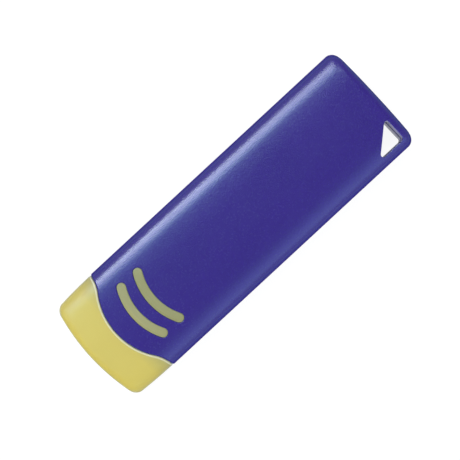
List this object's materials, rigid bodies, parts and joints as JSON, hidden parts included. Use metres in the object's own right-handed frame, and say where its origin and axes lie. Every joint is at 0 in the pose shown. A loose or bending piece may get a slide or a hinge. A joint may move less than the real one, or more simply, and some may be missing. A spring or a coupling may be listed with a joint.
{
  "type": "eraser",
  "caption": "Flat hand eraser: a yellow elastomer insert with a rubbing tip and window ribs, held between the front and back shells of a blue casing with a triangular lanyard hole.",
  "frame": {"origin": "under the middle of the back face, at the middle of the length and of the width", "axes": "+X along the length from the rubbing tip to the lanyard hole end, +Y across the width, +Z out of the front face"},
  "size_m": [0.0694, 0.022, 0.008],
  "materials": {
    "casing": "blue violet moulded plastic with a fine satin grain",
    "elastomer": "slightly translucent matt yellow elastomer"
  },
  "bodies": {
    "root": {"front_shell": "casing", "back_shell": "casing", "eraser_insert": "elastomer"}
  },
  "joints": []
}
